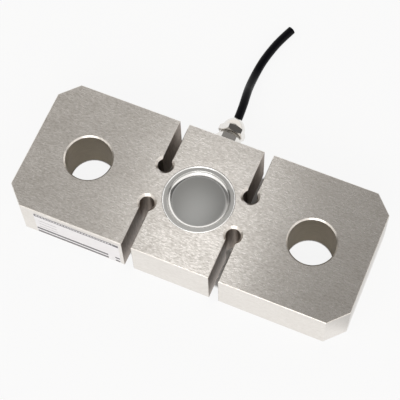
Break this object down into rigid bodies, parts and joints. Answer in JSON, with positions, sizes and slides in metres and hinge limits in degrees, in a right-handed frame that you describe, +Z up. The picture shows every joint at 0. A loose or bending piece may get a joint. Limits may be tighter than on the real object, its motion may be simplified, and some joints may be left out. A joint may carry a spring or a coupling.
{
  "type": "weighing load cell",
  "caption": "Flat steel plate-ring tension load cell with an eye at each end, saw slots ending in keyholes, a sealed round gauge cavity and a cable gland.",
  "frame": {"origin": "middle of the plate's bottom face", "axes": "+X along the plate through both eyes, +Y towards the cable gland, +Z up through the thickness"},
  "size_m": [0.24, 0.2148, 0.0355],
  "materials": {
    "ground_steel": "fine ground, grain along the plate",
    "cover_steel": "turned and polished",
    "nickel_plate": "bright nickel plate",
    "black_rubber": "moulded",
    "nylon": "moulded nylon",
    "cable_jacket": "extruded, slightly glossy",
    "silicone": "cast silicone",
    "polyimide_film": "amber film",
    "foil": "etched foil",
    "circuit_board": "coated glass laminate",
    "copper": "bare copper",
    "solder": "bright solder",
    "foam": "closed-cell foam",
    "resistor": "lacquered",
    "core_red": "extruded",
    "core_black": "extruded",
    "core_green": "extruded",
    "core_white": "extruded",
    "tinned_wire": "tinned strands",
    "label_film": "printed film",
    "label_ink": "dark ink"
  },
  "bodies": {
    "root": {"plate_body": "ground_steel", "top_cover": "cover_steel", "bottom_cover": "cover_steel", "top_cover_seal": "silicone", "bottom_cover_seal": "silicone", "gauge_film_right_rear": "polyimide_film", "gauge_grid_right_rear": "foil", "gauge_coat_right_rear": "silicone", "gauge_film_left_rear": "polyimide_film", "gauge_grid_left_rear": "foil", "gauge_coat_left_rear": "silicone", "gauge_film_left_front": "polyimide_film", "gauge_grid_left_front": "foil", "gauge_coat_left_front": "silicone", "gauge_film_right_front": "polyimide_film", "gauge_grid_right_front": "foil", "gauge_coat_right_front": "silicone", "core_red": "core_red", "core_black": "core_black", "core_green": "core_green", "core_white": "core_white", "shield_drain": "tinned_wire", "modulus_resistor_left": "resistor", "modulus_resistor_right": "resistor", "zero_balance_resistor": "resistor", "board_foam_pad": "foam", "terminal_board": "circuit_board", "board_copper_pads": "copper", "solder_joints": "solder", "gauge_leads": "copper", "gland_washer": "black_rubber", "gland_body": "nickel_plate", "gland_claw": "nylon", "gland_seal": "black_rubber", "gland_dome_nut": "nickel_plate", "cable_in_gland": "cable_jacket", "passage_sealant": "silicone", "cable": "cable_jacket", "nameplate": "label_film", "nameplate_print": "label_ink"}
  },
  "joints": []
}
